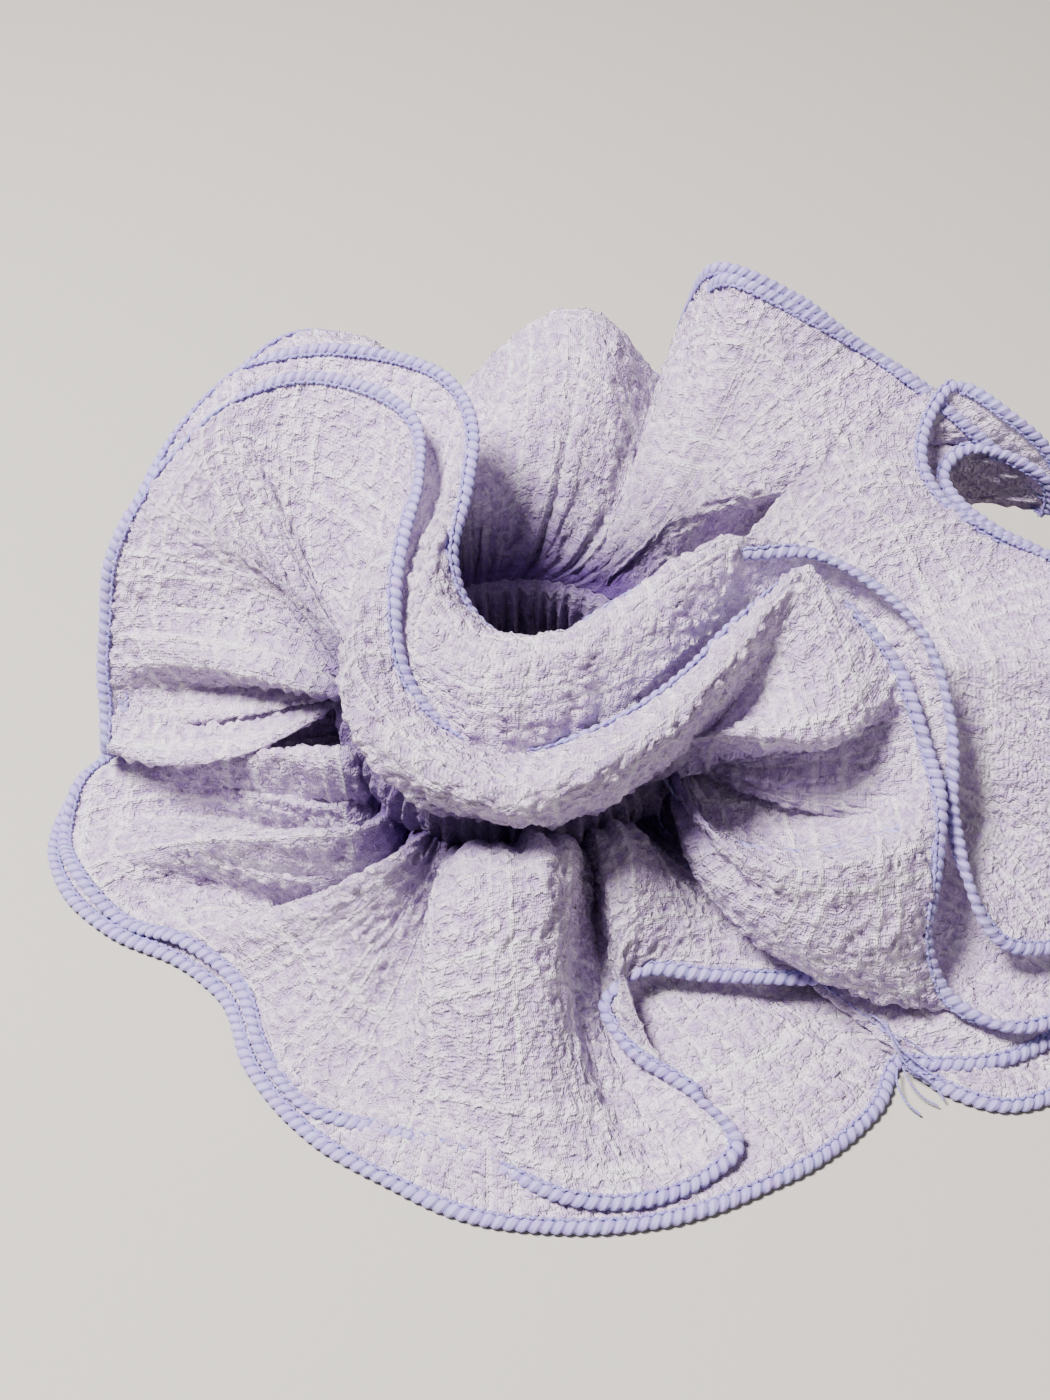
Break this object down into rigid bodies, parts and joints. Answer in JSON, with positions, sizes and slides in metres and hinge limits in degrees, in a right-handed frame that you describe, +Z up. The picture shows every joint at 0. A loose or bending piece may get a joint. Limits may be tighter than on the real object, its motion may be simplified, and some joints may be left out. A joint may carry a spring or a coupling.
{
  "type": "scrunchie",
  "caption": "Large pale lavender scrunchie with double-layer ruffled frills, rolled overlock hems and a hidden elastic band.",
  "frame": {"origin": "on the table, on the axis of the elastic ring", "axes": "+Z up along the ring's axis, +X towards the half that the stretch moves, +Y to the side where the upper frill is highest"},
  "size_m": [0.1826, 0.1822, 0.0708],
  "materials": {
    "cloth": "matte",
    "thread": "satin",
    "elastic": "matte"
  },
  "bodies": {
    "left_half": {"inner_cloth_left": "cloth", "outer_cloth_left": "cloth", "inner_join_seam": "thread", "elastic_band": "elastic", "elastic_lap_stitches": "thread", "upper_row_needle_thread": "thread", "upper_row_bobbin_thread": "thread", "lower_row_needle_thread": "thread", "lower_row_bobbin_thread": "thread", "upper_outer_hem": "thread", "upper_inner_hem": "thread", "lower_outer_hem": "thread", "lower_inner_hem": "thread"},
    "right_half": {"inner_cloth_right": "cloth", "outer_cloth_right": "cloth", "outer_join_seam": "thread", "lower_outer_hem_tail": "thread", "lower_inner_hem_tail": "thread"}
  },
  "joints": [
    {"name": "stretch", "type": "slide", "parent": "left_half", "child": "right_half", "axis": [1, 0, 0], "range_m": [0, 0.088], "stiffness_N_per_m": 65, "deforming": ["elastic_band", "upper_row_needle_thread", "upper_row_bobbin_thread", "lower_row_needle_thread", "lower_row_bobbin_thread", "upper_outer_hem", "upper_inner_hem", "lower_outer_hem", "lower_inner_hem"]}
  ]
}
